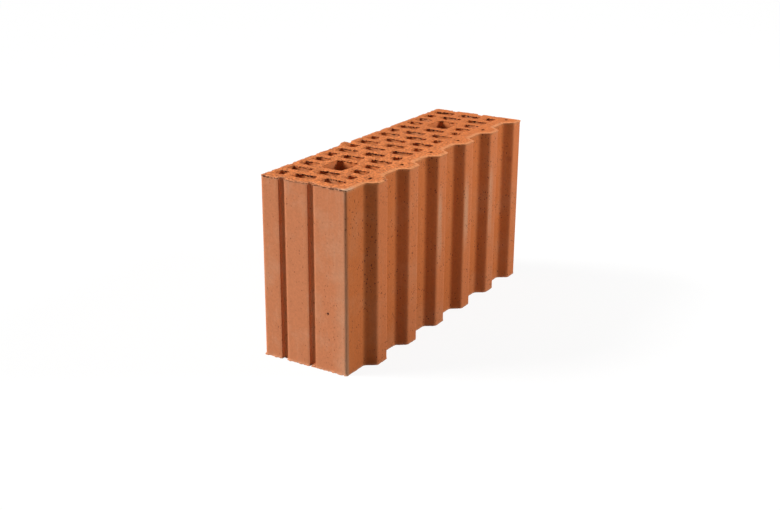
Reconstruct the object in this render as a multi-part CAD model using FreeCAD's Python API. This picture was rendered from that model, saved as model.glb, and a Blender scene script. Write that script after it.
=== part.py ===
import FreeCAD, Part
import math
import os

# Hollow clay block, extruded and fired as one piece, with tongues down one long side.
# Millimetres. +Z is up, the length runs along Y, the tongues face +X,
# and the origin is under the middle of the block's bounding box.

# Overall size
block_length = 440.0
body_width = 125.0            # plain long side to the recesses between the tongues
block_height = 238.0
corner_radius = 3.5           # upright corners of the block

# Tongues on the +X side: the last one is cut off flush by the far end
tongue_count = 6
tongue_height = 14.0
tongue_tip = 22.0             # flat outer strip of a tongue
tongue_flank = 10.0           # run of each sloping flank along the block
first_land = 38.0             # flat strip between the near end and the first tongue
tongue_edge_radius = 4.0
tongue_root_radius = 6.5

# Small core hole inside each tongue
tongue_hole_length = 8.0
tongue_hole_width = 5.0
tongue_hole_inset = 4.5       # hole's centre, in from the recesses

# Rows of perforations, evenly pitched and centred along the block.
# A row starts with a short hole at the plain side, B mirrors it, G has the hand hole in its middle.
row_types = "ABGGABABABABGGAB"
end_row_margin = 23.5         # end face to the centre of the row beside it
plain_wall = 9.0              # outer wall beside the plain side
ribbed_wall = 18.0            # outer wall beside the recesses
slot_thickness = 16.0         # along the block
short_hole = 14.5             # across the block
cross_web = 10.5              # clay between two holes of a row
hole_radius = 4.5

# Hand holes, each in place of the middle of two G rows and as long as the two together
grip_width = 34.0             # across the block
grip_web = 9.0                # clay between a hand hole and the slots beside it
grip_radius = 7.0

# Upright plaster grooves in both end faces
groove_count = 2
first_groove = 31.0           # plain side to the centre of the groove beside it
groove_spacing = 42.5
groove_width = 8.5
groove_depth = 5.0
groove_mouth_radius = 1.0
groove_floor_radius = 1.5

# Sizes that follow from those above
row_pitch = (block_length - 2 * end_row_margin) / (len(row_types) - 1)
field_width = body_width - plain_wall - ribbed_wall
long_slot = (field_width - short_hole - 2 * cross_web) / 2
grip_slot = (field_width - grip_width) / 2 - grip_web
tongue_base = tongue_tip + 2 * tongue_flank
tongue_pitch = (block_length - first_land - tongue_flank - tongue_tip) / (tongue_count - 1)
x_plain = -(body_width + tongue_height) / 2
x_recess = x_plain + body_width
x_tip = x_recess + tongue_height
y_near = -block_length / 2
y_far = block_length / 2
x_field = x_plain + plain_wall
same_point = 1e-6             # two points closer than this are one


def rounded_wire(corners):
    """Closed wire through (x, y, radius) corners, each one rounded to its radius."""
    starts = []
    middles = []
    ends = []
    for i, (x, y, radius) in enumerate(corners):
        corner = FreeCAD.Vector(x, y, 0)
        before = FreeCAD.Vector(corners[i - 1][0], corners[i - 1][1], 0) - corner
        following = corners[(i + 1) % len(corners)]
        after = FreeCAD.Vector(following[0], following[1], 0) - corner
        half_angle = before.getAngle(after) / 2
        before.normalize()
        after.normalize()
        inward = before + after
        inward.normalize()
        cut = radius / math.tan(half_angle)
        starts.append(corner + before * cut)
        middles.append(corner + inward * (radius / math.sin(half_angle) - radius))
        ends.append(corner + after * cut)
    edges = []
    for i in range(len(corners)):
        edges.append(Part.Arc(starts[i], middles[i], ends[i]).toShape())
        next_start = starts[(i + 1) % len(corners)]
        if ends[i].distanceToPoint(next_start) > same_point:
            edges.append(Part.LineSegment(ends[i], next_start).toShape())
    return Part.Wire(edges)


def hole(x_low, x_high, y_centre, thickness, radius):
    """Rounded rectangular hole between two x positions, centred on y."""
    y_low = y_centre - thickness / 2
    y_high = y_centre + thickness / 2
    return rounded_wire([
        (x_low, y_low, radius),
        (x_high, y_low, radius),
        (x_high, y_high, radius),
        (x_low, y_high, radius),
    ])


def end_grooves(y_face, inward):
    """Corners of the plaster grooves in an end face, from the plain side towards the tongues."""
    y_floor = y_face + inward * groove_depth
    corners = []
    for i in range(groove_count):
        x_low = x_plain + first_groove + i * groove_spacing - groove_width / 2
        x_high = x_low + groove_width
        corners += [
            (x_low, y_face, groove_mouth_radius),
            (x_low, y_floor, groove_floor_radius),
            (x_high, y_floor, groove_floor_radius),
            (x_high, y_face, groove_mouth_radius),
        ]
    return corners


def tongue_corners():
    """Corners of the ribbed side, from the near end to the far end."""
    corners = [(x_recess, y_near, corner_radius)]
    for i in range(tongue_count):
        root = y_near + first_land + i * tongue_pitch
        corners += [
            (x_recess, root, tongue_root_radius),
            (x_tip, root + tongue_flank, tongue_edge_radius),
        ]
        if i < tongue_count - 1:
            corners += [
                (x_tip, root + tongue_flank + tongue_tip, tongue_edge_radius),
                (x_recess, root + tongue_base, tongue_root_radius),
            ]
    corners.append((x_tip, y_far, tongue_edge_radius))
    return corners


def row_spans(row_type):
    """Where a row's holes start and end across the block, from the field's plain-side edge."""
    if row_type == "G":
        return [(0, grip_slot), (field_width - grip_slot, field_width)]
    spans = [(0, short_hole)]
    for i in range(2):
        start = short_hole + cross_web + i * (long_slot + cross_web)
        spans.append((start, start + long_slot))
    if row_type == "B":
        spans = [(field_width - high, field_width - low) for low, high in spans]
    return spans


# Outer section, round from the plain side's near corner
outline = [(x_plain, y_near, corner_radius)]
outline += end_grooves(y_near, 1)
outline += tongue_corners()
outline += reversed(end_grooves(y_far, -1))
outline.append((x_plain, y_far, corner_radius))

# Rows of slots and short holes
holes = []
row_centres = [y_near + end_row_margin + i * row_pitch for i in range(len(row_types))]
for row_type, y_row in zip(row_types, row_centres):
    for low, high in row_spans(row_type):
        holes.append(hole(x_field + low, x_field + high, y_row, slot_thickness, hole_radius))

# Hand holes between the slots of each pair of G rows
grip_length = row_pitch + slot_thickness
x_grip = x_field + field_width / 2 - grip_width / 2
for i in range(len(row_types) - 1):
    if row_types[i:i + 2] == "GG":
        y_grip = (row_centres[i] + row_centres[i + 1]) / 2
        holes.append(hole(x_grip, x_grip + grip_width, y_grip, grip_length, grip_radius))

# Core holes of the tongues
x_core = x_recess - tongue_hole_inset - tongue_hole_width / 2
for i in range(tongue_count):
    y_core = y_near + first_land + tongue_base / 2 + i * tongue_pitch
    holes.append(hole(x_core, x_core + tongue_hole_width, y_core, tongue_hole_length, tongue_hole_width / 2))

section = Part.makeFace([rounded_wire(outline)] + holes, "Part::FaceMakerBullseye")
block = section.extrude(FreeCAD.Vector(0, 0, block_height))
if block.ShapeType != "Solid" or not block.isValid():
    raise RuntimeError("the block is not one valid solid")

os.makedirs("parts", exist_ok=True)
block.exportStep("parts/hollow_clay_block.step")
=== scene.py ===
import math
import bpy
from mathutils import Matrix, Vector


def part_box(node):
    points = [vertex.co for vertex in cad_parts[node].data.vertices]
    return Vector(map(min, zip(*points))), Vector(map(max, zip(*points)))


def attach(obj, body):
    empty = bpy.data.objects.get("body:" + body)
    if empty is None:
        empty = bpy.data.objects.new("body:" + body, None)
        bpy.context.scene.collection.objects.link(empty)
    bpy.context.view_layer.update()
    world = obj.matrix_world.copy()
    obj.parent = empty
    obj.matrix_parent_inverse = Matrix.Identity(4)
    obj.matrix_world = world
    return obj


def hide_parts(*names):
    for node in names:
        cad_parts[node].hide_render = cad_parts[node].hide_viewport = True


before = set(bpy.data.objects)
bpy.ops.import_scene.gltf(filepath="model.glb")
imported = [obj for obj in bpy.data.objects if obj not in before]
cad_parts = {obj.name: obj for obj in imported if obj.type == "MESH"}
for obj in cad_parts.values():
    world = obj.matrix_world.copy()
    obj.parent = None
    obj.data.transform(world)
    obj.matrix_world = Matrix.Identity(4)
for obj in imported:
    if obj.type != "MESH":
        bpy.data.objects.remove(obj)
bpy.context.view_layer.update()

from types import SimpleNamespace

import bmesh
import bpy
from mathutils import Matrix, Vector

bl_info = {
    "name": "Hollow clay block",
    "version": (1, 0, 0),
    "blender": (4, 5, 0),
    "location": "3D View > Sidebar > Clay block",
    "description": "Dresses the packed hollow clay block: torn wire-cut beds, die-drawn sides, fired clay",
    "category": "Object",
}

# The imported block, in metres
NODE = "hollow_clay_block"
BLOCK_LOW, BLOCK_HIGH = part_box(NODE)
MM = 0.001

# Places on the block that follow its section
TONGUE_HEIGHT = 14 * MM
GROOVE_DEPTH = 5 * MM
FIRST_GROOVE = 31 * MM           # plain side to the middle of the first plaster groove
GROOVE_SPACING = 42.5 * MM
CORE_SKIN = 1 * MM               # no hole is nearer than this to a groove or a recess
ROW_PITCH = 26.2 * MM
FIRST_ROW = 23.5 * MM
FIRST_TONGUE = 59 * MM           # near end to the middle of the first tongue
TONGUE_PITCH = 74 * MM
TONGUE_TIP = 22 * MM
RECESS_X = BLOCK_HIGH.x - TONGUE_HEIGHT
CORE_HOLES_X = RECESS_X - 9 * MM         # beyond this lie the small core holes of the tongues
GROOVES_X = BLOCK_LOW.x + FIRST_GROOVE + GROOVE_SPACING / 2      # midway between the two grooves

# Places of single marks
WORN_CORNER = (BLOCK_HIGH.x, BLOCK_LOW.y + FIRST_TONGUE + TONGUE_TIP / 2, BLOCK_HIGH.z)
PALE_CORNER = (RECESS_X, BLOCK_LOW.y, BLOCK_HIGH.z)
DEEP_CHIP_Y = -27 * MM
FLAKE_Y = DEEP_CHIP_Y - 11 * MM
SALT_HEIGHT = 140 * MM           # middle of the salt streaks
SMUDGE = (65 * MM, 195 * MM, 184 * MM)
PIT = (28 * MM, BLOCK_LOW.y, 77 * MM)
COARSE_TO = -60 * MM             # the wire tore the bed coarsely up to here along the block,
CLEAN_FROM = 120 * MM            # and cut it more cleanly from here on

# Mesh of the block. The first three are shares of a cell of the bed's grid.
RIM_ROOM = 0.45                  # the grid keeps this far off the rims
CORNER_REACH = 0.7               # a corner of the outer rim is looked for as far as this
MERGE_REACH = 0.12               # points closer than this are one
RIM_WIDTH = 0.15 * MM            # a point closer than this to a rim lies on it
CROWDING = 3.0                   # how close the outer rings stand at both beds
GROWTH = 6.0                     # how fast the rings of the holes spread downwards
FOOT_RINGS = 2                   # rings of the holes close to the lower bed,
FOOT_HEIGHT = 4 * MM             # and how high they start
SEED_STEP = 0.37                 # how far one step of the seed moves the noise of the mesh
SHARP_ANGLE = math.radians(32)   # steeper edges than this stay sharp
LEAST_FACES = 1000               # a block with fewer has failed

# Inputs of the block's tree, and the attributes that it leaves for the clay
BLOCK_SIZES = ("Width", "Length", "Height")
MARK_SIZES = ("Cell", "Grain", "Sag", "Burr", "Chip", "Notch", "Lip", "Warp", "Drag")
MARK_COUNTS = ("Outer Rings", "Hole Rings", "Seed")
MARKED = ("torn", "burr", "arris", "lip")

# Pores: spacing in mm, largest radius as a share of it, darkness on the ends and on the ribbed side.
# The finest are well under a millimetre and would not show, so they are drawn as small as shows.
PORES = ((9, 0.12, 0.85, 0.95), (4.2, 0.28, 0.6, 0.95), (2.8, 0.33, 0.35, 0.9))

# Lamps and camera
KEY_WAY = (-0.8, -0.45, 0.5)     # from the block to the lamp
KEY_SPREAD = math.radians(30)
TOP_WAY = (0, 0, 1)
TOP_SPREAD = math.radians(120)
REAR_WAY = Vector((1.0, 0.62, 0.63)).normalized()
REAR_AWAY = 1.9
REAR_SIZE = 0.5
FLOOR_GLOW = 0.88                # how much of the floor shows as plain white
CAMERA_PLACE = (0.7761, -1.3058, 0.6223)
CAMERA_TURN = math.radians(31.31)
CAMERA_TILT = math.radians(90 - 19.6)
CAMERA_ROLL = math.radians(0.43)


def linear(code):
    """Linear colour of an sRGB hex code such as #C87F5A."""
    channels = [int(code[i:i + 2], 16) / 255 for i in (1, 3, 5)]
    return tuple(c / 12.92 if c <= 0.04045 else ((c + 0.055) / 1.055) ** 2.4 for c in channels)


def per_mm(size):
    """Texture scale that draws a pattern about this many millimetres across."""
    return 1 / (size * MM)


def add(tree, kind, *values, inputs=None, **settings):
    """Adds a node: values fill its inputs in order, inputs go by name or number, settings are its own."""
    node = tree.nodes.new(kind)
    for name, setting in settings.items():
        setattr(node, name, setting)
    for key, value in [*enumerate(values), *(inputs or {}).items()]:
        if isinstance(value, bpy.types.Node):
            value = value.outputs[0]
        if isinstance(value, bpy.types.NodeSocket):
            tree.links.new(value, node.inputs[key])
        elif value is not None:
            node.inputs[key].default_value = value
    return node


class ClayMarks(bpy.types.PropertyGroup):
    """Sizes of the marks that die, wire and handling left on the block."""

    cell: bpy.props.FloatProperty(
        name="Cell", description="Spacing of the mesh on the upper bed",
        default=1.34 * MM, min=1 * MM, precision=5, unit="LENGTH")
    grain: bpy.props.FloatProperty(
        name="Grain", description="Height of the crumbs that the cutting wire tore up on the upper bed",
        default=1.9 * MM, min=0, precision=5, unit="LENGTH")
    sag: bpy.props.FloatProperty(
        name="Sag", description="How far the upper bed drops at worn rims",
        default=0.9 * MM, min=0, precision=5, unit="LENGTH")
    burr: bpy.props.FloatProperty(
        name="Burr", description="Reach of the ragged clay that the wire pushed over the rims it left by",
        default=2.7 * MM, min=0, precision=5, unit="LENGTH")
    chip: bpy.props.FloatProperty(
        name="Chip", description="Largest of the small chips along the outer edges",
        default=2.2 * MM, min=0, precision=5, unit="LENGTH")
    notch: bpy.props.FloatProperty(
        name="Notch", description="Depth of the notches between the rows, along the plain side",
        default=3.4 * MM, min=0, precision=5, unit="LENGTH")
    lip: bpy.props.FloatProperty(
        name="Lip", description="Reach of the thin lip along the top of the tongues",
        default=2 * MM, min=0, precision=5, unit="LENGTH")
    warp: bpy.props.FloatProperty(
        name="Warp", description="Unevenness of the sides from drying",
        default=0.5 * MM, min=0, precision=5, unit="LENGTH")
    drag: bpy.props.FloatProperty(
        name="Drag", description="Depth of the upright lines that the die drew on the sides",
        default=0.12 * MM, min=0, precision=5, unit="LENGTH")
    outer_rings: bpy.props.IntProperty(
        name="Outer rings", description="Rings of faces down the outer sides", default=24, min=4)
    hole_rings: bpy.props.IntProperty(
        name="Hole rings", description="Rings of faces down the holes", default=11, min=3)
    seed: bpy.props.IntProperty(
        name="Seed", description="Fixed start of everything uneven", default=7, min=0)


class ClayColours(bpy.types.PropertyGroup):
    """Colours of the fired clay."""

    skin: bpy.props.FloatVectorProperty(
        name="Die skin", description="Smooth ends and plain side",
        subtype="COLOR", size=3, min=0, max=1, default=linear("#C0764E"))
    land: bpy.props.FloatVectorProperty(
        name="Land", description="Recesses between the tongues",
        subtype="COLOR", size=3, min=0, max=1, default=linear("#C46D37"))
    tip: bpy.props.FloatVectorProperty(
        name="Tip", description="Outer strips of the tongues",
        subtype="COLOR", size=3, min=0, max=1, default=linear("#CB7443"))
    torn: bpy.props.FloatVectorProperty(
        name="Torn bed", description="Fresh clay where the wire cut it",
        subtype="COLOR", size=3, min=0, max=1, default=linear("#C36F3A"))
    clean: bpy.props.FloatVectorProperty(
        name="Clean bed", description="Bed towards the far end, where the wire cut more cleanly",
        subtype="COLOR", size=3, min=0, max=1, default=linear("#B96632"))
    inside: bpy.props.FloatVectorProperty(
        name="Inside", description="Walls of the holes",
        subtype="COLOR", size=3, min=0, max=1, default=linear("#DB8147"))
    # Pinholes, and also the colour of the painted shade down the holes and between the bed's crumbs.
    pore_and_painted_shade: bpy.props.FloatVectorProperty(
        name="Pore", description="Pinholes and burnt-out grains",
        subtype="COLOR", size=3, min=0, max=1, default=linear("#632D15"))
    # Colour of the painted shadow under the burrs and of the painted shade in the pit of the near end.
    painted_burr_shadow: bpy.props.FloatVectorProperty(
        name="Crevice", description="Torn clay under the burrs",
        subtype="COLOR", size=3, min=0, max=1, default=linear("#42180A"))
    # Also the colour of the painted bounce light towards the foot of the near corner.
    bloom_and_painted_bounce: bpy.props.FloatVectorProperty(
        name="Bloom", description="Pale salt streaks and scum",
        subtype="COLOR", size=3, min=0, max=1, default=linear("#C6A183"))
    # Fresh clay on worn edges, and also the warm bounce light painted into the grooves.
    rubbed_and_painted_bounce: bpy.props.FloatVectorProperty(
        name="Rubbed edge", description="Fresh clay on worn edges",
        subtype="COLOR", size=3, min=0, max=1, default=linear("#DC8E57"))


class StudioStage(bpy.types.PropertyGroup):
    """Floor, lamps and camera."""

    floor_size: bpy.props.FloatProperty(
        name="Floor", description="Width of the floor", default=30, min=1, unit="LENGTH")
    key_level: bpy.props.FloatProperty(
        name="Key", description="Level of the lamp from the front left", default=1.76, min=0)
    rear_level: bpy.props.FloatProperty(
        name="Rear", description="Level of the lamp from the rear right", default=0.75, min=0)
    top_level: bpy.props.FloatProperty(
        name="Overhead", description="Level of the broad lamp overhead", default=0.06, min=0)
    sky_level: bpy.props.FloatProperty(
        name="Surroundings", description="Level of the light from all round", default=0.07, min=0)
    floor_colour: bpy.props.FloatVectorProperty(
        name="Floor colour", description="Pale floor, as it lights the block",
        subtype="COLOR", size=3, min=0, max=1, default=linear("#A2A2A0"))
    floor_shown: bpy.props.FloatVectorProperty(
        name="Floor shown", description="Pale floor, as it looks",
        subtype="COLOR", size=3, min=0, max=1, default=linear("#FFFFFE"))
    lens: bpy.props.FloatProperty(
        name="Lens", description="Focal length of the camera", default=53.96, min=10, unit="CAMERA")


def start_tree(name, sockets):
    """New geometry tree with these named inputs, and its input and output nodes."""
    tree = bpy.data.node_groups.new(name, "GeometryNodeTree")
    tree.interface.new_socket("Geometry", in_out="INPUT", socket_type="NodeSocketGeometry")
    for label, kind in sockets:
        tree.interface.new_socket(label, in_out="INPUT", socket_type=kind)
    tree.interface.new_socket("Geometry", in_out="OUTPUT", socket_type="NodeSocketGeometry")
    return tree, add(tree, "NodeGroupInput").outputs


def open_edges(tree):
    """Edges with a face on one side only."""
    count = add(tree, "GeometryNodeInputMeshEdgeNeighbors")
    return add(tree, "FunctionNodeCompare", inputs={2: count, 3: 1}, data_type="INT", operation="EQUAL")


def upper_bed(tree, given):
    """The block's upper bed face, the edges of all its rims, and of the outer rim alone."""
    merged = add(tree, "GeometryNodeMergeByDistance", given["Geometry"], inputs={"Distance": 0.01 * MM})
    normal = add(tree, "ShaderNodeSeparateXYZ", add(tree, "GeometryNodeInputNormal"))
    upward = add(tree, "ShaderNodeMath", normal.outputs[2], 0.5, operation="GREATER_THAN")
    bed = add(tree, "GeometryNodeSeparateGeometry", merged, upward, domain="FACE")
    slope = add(tree, "ShaderNodeMath", normal.outputs[2], operation="ABSOLUTE")
    upright = add(tree, "ShaderNodeMath", slope, 0.5, operation="LESS_THAN")
    sides = add(tree, "GeometryNodeSeparateGeometry", merged, upright, domain="FACE")
    place = add(tree, "ShaderNodeSeparateXYZ", add(tree, "GeometryNodeInputPosition"))
    half_up = add(tree, "ShaderNodeMath", given["Height"], 0.5, operation="MULTIPLY")
    high = add(tree, "ShaderNodeMath", place.outputs[2], half_up, operation="GREATER_THAN")
    top_edges = add(tree, "FunctionNodeBooleanMath", open_edges(tree), high, operation="AND")
    rims = add(tree, "GeometryNodeSeparateGeometry", sides, top_edges, domain="EDGE")
    outer = add(tree, "GeometryNodeSeparateGeometry", rims, hollow_place(tree, given), domain="EDGE")
    return bed, rims, outer.outputs["Inverted"]


def hollow_place(tree, given):
    """True inside the block's outer skin, where every rim is a hole's."""
    place = add(tree, "ShaderNodeSeparateXYZ", add(tree, "GeometryNodeInputPosition"))
    middle = add(tree, "ShaderNodeMath", place.outputs[0], TONGUE_HEIGHT / 2)
    across = add(tree, "ShaderNodeMath", middle, operation="ABSOLUTE")
    along = add(tree, "ShaderNodeMath", place.outputs[1], operation="ABSOLUTE")
    half_width = add(tree, "ShaderNodeMath", given["Width"], 0.5, -TONGUE_HEIGHT / 2 - CORE_SKIN,
                     operation="MULTIPLY_ADD")
    half_length = add(tree, "ShaderNodeMath", given["Length"], 0.5, -GROOVE_DEPTH - CORE_SKIN,
                      operation="MULTIPLY_ADD")
    inside_x = add(tree, "ShaderNodeMath", across, half_width, operation="LESS_THAN")
    inside_y = add(tree, "ShaderNodeMath", along, half_length, operation="LESS_THAN")
    return add(tree, "FunctionNodeBooleanMath", inside_x, inside_y, operation="AND")


def bed_grid(tree, given, bed, rims):
    """Even grid of faces over the bed, a little off its rims."""
    counts = []
    for side in ("Width", "Length"):
        cells = add(tree, "ShaderNodeMath", given[side], given["Cell"], operation="DIVIDE")
        whole = add(tree, "ShaderNodeMath", cells, operation="CEIL")
        counts.append(add(tree, "ShaderNodeMath", whole, 1))
    grid = add(tree, "GeometryNodeMeshGrid", given["Width"], given["Length"], *counts)
    lift = add(tree, "ShaderNodeCombineXYZ", inputs={"Z": given["Height"]})
    raised = add(tree, "GeometryNodeSetPosition", grid, inputs={"Offset": lift})

    # Points off the clay or too near a rim go
    to_bed = add(tree, "GeometryNodeProximity", bed, target_element="FACES")
    room = add(tree, "ShaderNodeMath", given["Cell"], RIM_ROOM, operation="MULTIPLY")
    off_bed = add(tree, "ShaderNodeMath", to_bed.outputs["Distance"], room, operation="GREATER_THAN")
    to_rim = add(tree, "GeometryNodeProximity", rims, target_element="EDGES")
    crowded = add(tree, "ShaderNodeMath", to_rim.outputs["Distance"], room, operation="LESS_THAN")
    unwanted = add(tree, "FunctionNodeBooleanMath", off_bed, crowded, operation="OR")
    kept = add(tree, "GeometryNodeDeleteGeometry", raised, unwanted, domain="POINT")

    # Then the edges and points that they leave without a face
    edge_faces = add(tree, "GeometryNodeInputMeshEdgeNeighbors")
    loose_edge = add(tree, "FunctionNodeCompare", inputs={2: edge_faces, 3: 0},
                     data_type="INT", operation="EQUAL")
    faced = add(tree, "GeometryNodeDeleteGeometry", kept, loose_edge, domain="EDGE", mode="EDGE_FACE")
    point_faces = add(tree, "GeometryNodeInputMeshVertexNeighbors").outputs["Face Count"]
    loose_point = add(tree, "FunctionNodeCompare", inputs={2: point_faces, 3: 0},
                      data_type="INT", operation="EQUAL")
    return add(tree, "GeometryNodeDeleteGeometry", faced, loose_point, domain="POINT")


def rim_target(tree, given, rims, outer_rim):
    """Where a point goes: a grid corner to a corner of the outer rim ahead of it, the rest to a rim."""
    here = add(tree, "GeometryNodeInputPosition")
    nearest = add(tree, "GeometryNodeProximity", rims, target_element="EDGES")
    corner = add(tree, "GeometryNodeInputNamedAttribute", "corner", data_type="FLOAT_VECTOR")
    further = add(tree, "ShaderNodeVectorMath", corner, inputs={"Scale": 2.0}, operation="SCALE")
    ahead = add(tree, "ShaderNodeVectorMath", here, further)
    turning = add(tree, "GeometryNodeProximity", outer_rim, inputs={"Sample Position": ahead},
                  target_element="POINTS")
    within = add(tree, "ShaderNodeMath", given["Cell"], CORNER_REACH, operation="MULTIPLY")
    to_corner = add(tree, "ShaderNodeMath", turning.outputs["Distance"], within, operation="LESS_THAN")

    # The corner lies where the grid's corner points, and the nearest rim doesn't
    straight_corner = add(tree, "ShaderNodeVectorMath", corner, operation="NORMALIZE")
    for goal, sense, share in ((turning, "GREATER_THAN", 0.95), (nearest, "LESS_THAN", 0.85)):
        way = add(tree, "ShaderNodeVectorMath", goal.outputs["Position"], here, operation="SUBTRACT")
        straight_way = add(tree, "ShaderNodeVectorMath", way, operation="NORMALIZE")
        agreement = add(tree, "ShaderNodeVectorMath", straight_way, straight_corner,
                        operation="DOT_PRODUCT")
        fits = add(tree, "ShaderNodeMath", agreement.outputs["Value"], share, operation=sense)
        to_corner = add(tree, "ShaderNodeMath", to_corner, fits, operation="MULTIPLY")
    target = add(tree, "ShaderNodeMix", to_corner, data_type="VECTOR",
                 inputs={4: nearest.outputs["Position"], 5: turning.outputs["Position"]})
    return target.outputs[1]


def bed_mesh(tree, given, bed, rims, outer_rim):
    """Even grid over the bed, with a strip along its open edges drawn out to the rims."""
    grid = bed_grid(tree, given, bed, rims)

    # A corner of the grid, with one face only, keeps the way in which it points
    face_count = add(tree, "GeometryNodeInputMeshVertexNeighbors").outputs["Face Count"]
    one_face = add(tree, "FunctionNodeCompare", inputs={2: face_count, 3: 1},
                   data_type="INT", operation="EQUAL")
    here = add(tree, "GeometryNodeInputPosition")
    face_middle = add(tree, "GeometryNodeFieldOnDomain", here, domain="FACE", data_type="FLOAT_VECTOR")
    from_face = add(tree, "ShaderNodeVectorMath", here, face_middle, operation="SUBTRACT")
    diagonal = add(tree, "ShaderNodeVectorMath", from_face, inputs={"Scale": one_face}, operation="SCALE")
    cornered = add(tree, "GeometryNodeStoreNamedAttribute", grid,
                   inputs={"Name": "corner", "Value": diagonal}, data_type="FLOAT_VECTOR", domain="POINT")

    # The strip
    strip = add(tree, "GeometryNodeExtrudeMesh", cornered, open_edges(tree),
                inputs={"Offset Scale": 0.0}, mode="EDGES")
    target = rim_target(tree, given, rims, outer_rim)
    snapped = add(tree, "GeometryNodeSetPosition", strip, strip.outputs["Top"], target)
    tight = add(tree, "ShaderNodeMath", given["Cell"], MERGE_REACH, operation="MULTIPLY")
    plain = add(tree, "GeometryNodeRemoveAttribute", snapped, inputs={"Name": "corner"})
    joined = add(tree, "GeometryNodeMergeByDistance", plain, inputs={"Distance": tight})

    # Rims of holes are told from the outer rim
    on_rim = add(tree, "GeometryNodeProximity", rims, target_element="EDGES")
    at_rim = add(tree, "ShaderNodeMath", on_rim.outputs["Distance"], RIM_WIDTH, operation="LESS_THAN")
    of_hole = add(tree, "FunctionNodeBooleanMath", at_rim, hollow_place(tree, given), operation="AND")
    return add(tree, "GeometryNodeStoreNamedAttribute", joined,
               inputs={"Name": "hollow", "Value": of_hole}, data_type="FLOAT", domain="POINT")


def drawn_down(tree, mesh, given, choice, rings, level):
    """Walls drawn down from the open edges of one kind, ring by ring, to the height that level gives."""
    start = add(tree, "GeometryNodeRepeatInput", rings)
    end = add(tree, "GeometryNodeRepeatOutput")
    start.pair_with_output(end)
    tree.links.new(mesh.outputs[0], start.inputs["Geometry"])
    edges = add(tree, "FunctionNodeBooleanMath", open_edges(tree), choice, operation="AND")
    ring = add(tree, "GeometryNodeExtrudeMesh", start.outputs["Geometry"], edges,
               inputs={"Offset Scale": 0.0}, mode="EDGES")
    step = add(tree, "ShaderNodeMath", start.outputs["Iteration"], 1)
    place = add(tree, "ShaderNodeSeparateXYZ", add(tree, "GeometryNodeInputPosition"))
    height = level(tree, given, step)
    lower = add(tree, "ShaderNodeCombineXYZ", place.outputs[0], place.outputs[1], height)
    moved = add(tree, "GeometryNodeSetPosition", ring, ring.outputs["Top"], lower)
    tree.links.new(moved.outputs[0], end.inputs["Geometry"])
    return end


def outer_level(tree, given, step):
    """Height of a ring of the outer sides: close together at both beds."""
    share = add(tree, "ShaderNodeMath", step, given["Outer Rings"], operation="DIVIDE")
    spread = add(tree, "ShaderNodeMath", share, -2 * CROWDING, CROWDING, operation="MULTIPLY_ADD")
    bent = add(tree, "ShaderNodeMath", spread, operation="TANH")
    height = add(tree, "ShaderNodeMath", bent, 0.5 / math.tanh(CROWDING), 0.5, operation="MULTIPLY_ADD")
    return add(tree, "ShaderNodeMath", height, given["Height"], operation="MULTIPLY")


def hole_level(tree, given, step):
    """Height of a ring of the holes: close together under the upper bed, with a few at the foot."""
    upper = add(tree, "ShaderNodeMath", step, given["Hole Rings"], operation="MINIMUM")
    share = add(tree, "ShaderNodeMath", upper, given["Hole Rings"], operation="DIVIDE")
    grown = add(tree, "ShaderNodeMath", share, GROWTH, operation="MULTIPLY")
    raised = add(tree, "ShaderNodeMath", grown, operation="EXPONENT")
    fall = add(tree, "ShaderNodeMath", raised, 1, operation="SUBTRACT")
    reach = add(tree, "ShaderNodeMath", given["Height"], FOOT_HEIGHT, operation="SUBTRACT")
    depth = add(tree, "ShaderNodeMath", fall, 1 / (math.exp(GROWTH) - 1), operation="MULTIPLY")
    upper_fall = add(tree, "ShaderNodeMath", depth, reach, operation="MULTIPLY")
    left = add(tree, "ShaderNodeMath", step, upper, operation="SUBTRACT")
    foot_fall = add(tree, "ShaderNodeMath", left, FOOT_HEIGHT / FOOT_RINGS, operation="MULTIPLY")
    fallen = add(tree, "ShaderNodeMath", upper_fall, foot_fall)
    return add(tree, "ShaderNodeMath", given["Height"], fallen, operation="SUBTRACT")


def block_walls(tree, mesh, given):
    """Outer sides, and walls of the holes."""
    hollow = add(tree, "GeometryNodeInputNamedAttribute", "hollow", data_type="FLOAT")
    of_hole = add(tree, "ShaderNodeMath", hollow, 0.5, operation="GREATER_THAN")
    of_outside = add(tree, "ShaderNodeMath", hollow, 0.5, operation="LESS_THAN")
    outside = drawn_down(tree, mesh, given, of_outside, given["Outer Rings"], outer_level)
    hole_rings = add(tree, "ShaderNodeMath", given["Hole Rings"], FOOT_RINGS)
    return drawn_down(tree, outside, given, of_hole, hole_rings, hole_level)


def lower_bed(tree, mesh):
    """Closes the foot of the walls with one flat bed."""
    loops = add(tree, "GeometryNodeMeshToCurve", mesh, open_edges(tree))
    fill = add(tree, "GeometryNodeFillCurve", loops, mode="TRIANGLES")
    turned = add(tree, "GeometryNodeFlipFaces", fill)
    whole = add(tree, "GeometryNodeJoinGeometry")
    tree.links.new(turned.outputs[0], whole.inputs[0])
    tree.links.new(mesh.outputs[0], whole.inputs[0])
    return add(tree, "GeometryNodeMergeByDistance", whole, inputs={"Distance": 0.02 * MM})


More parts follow.
